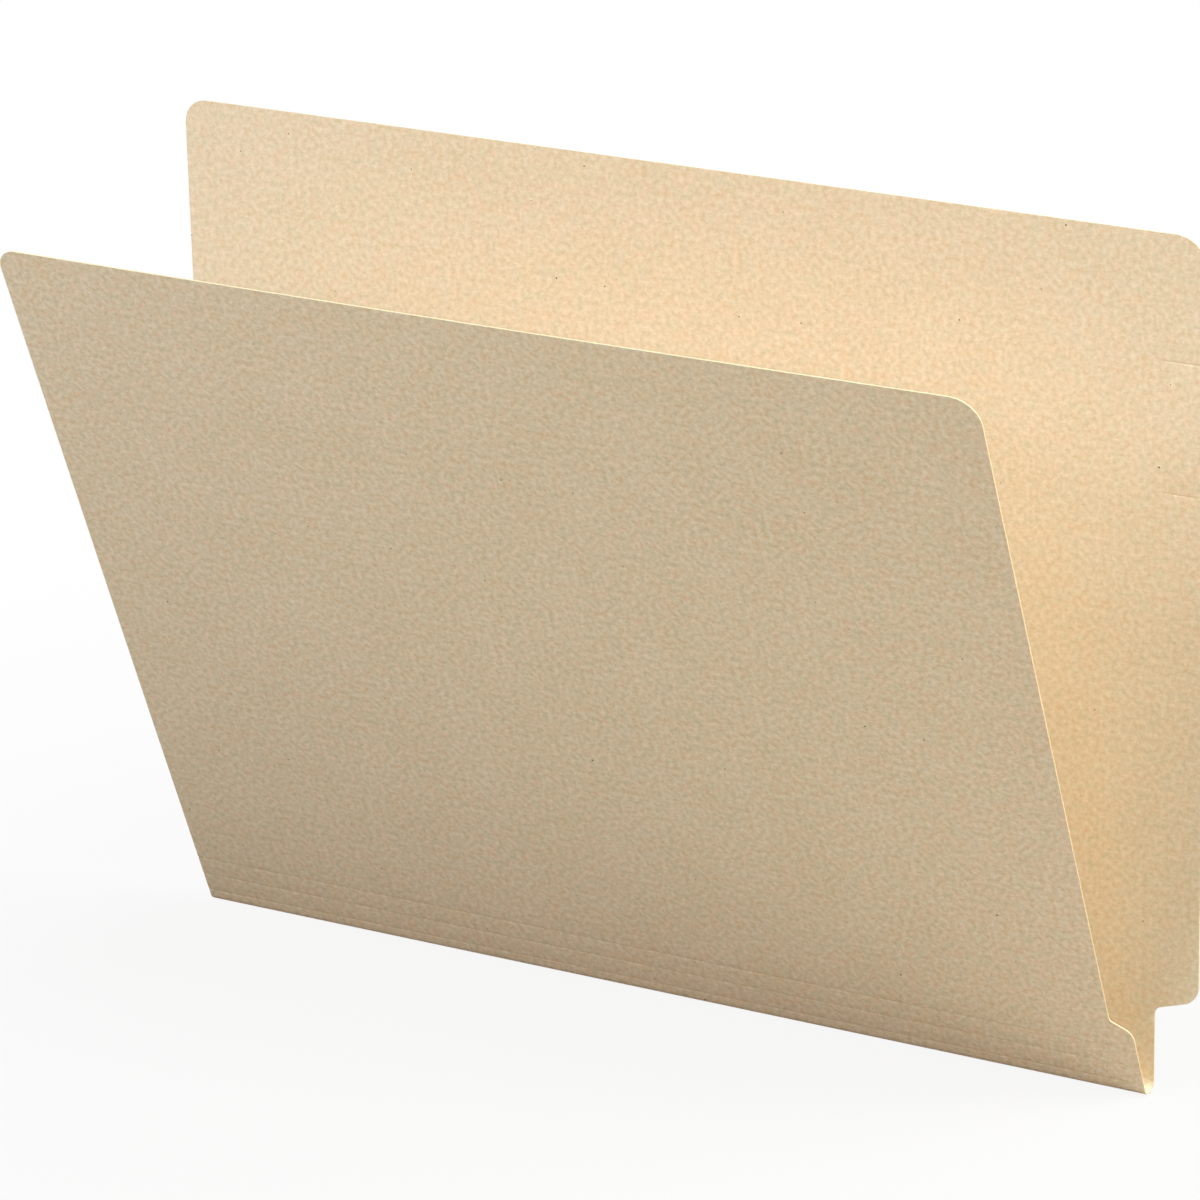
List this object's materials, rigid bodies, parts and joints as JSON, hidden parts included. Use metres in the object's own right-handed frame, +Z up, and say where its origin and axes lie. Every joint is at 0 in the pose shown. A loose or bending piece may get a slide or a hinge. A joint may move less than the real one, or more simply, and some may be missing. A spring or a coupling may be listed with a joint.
{
  "type": "end tab file folder",
  "caption": "Letter-size manila file folder with a straight-cut end tab, a cut-back front panel, a rounded main fold that opens and shuts it, and three pressed score lines, shown half open.",
  "frame": {"origin": "under the middle of the folder as it stands half open: half way along its length and across its depth, at the level that its main fold stands on", "axes": "+X along the main fold towards the end tab, +Y from the front panel to the upright back panel, +Z up"},
  "size_m": [0.3112, 0.095, 0.2403],
  "materials": {
    "manila_card_inside": "matte",
    "manila_card_outside": "matte"
  },
  "bodies": {
    "back_side": {"back_panel": "manila_card_inside"},
    "front_side": {"score_strip_1": "manila_card_outside", "score_strip_2": "manila_card_outside", "score_strip_3": "manila_card_outside", "front_panel": "manila_card_outside"}
  },
  "joints": [
    {"name": "main_fold", "type": "hinge", "parent": "back_side", "child": "front_side", "pos_m": [0, 0.04491, 0.00006], "axis": [1, 0, 0], "range_deg": [-22, 158]}
  ]
}
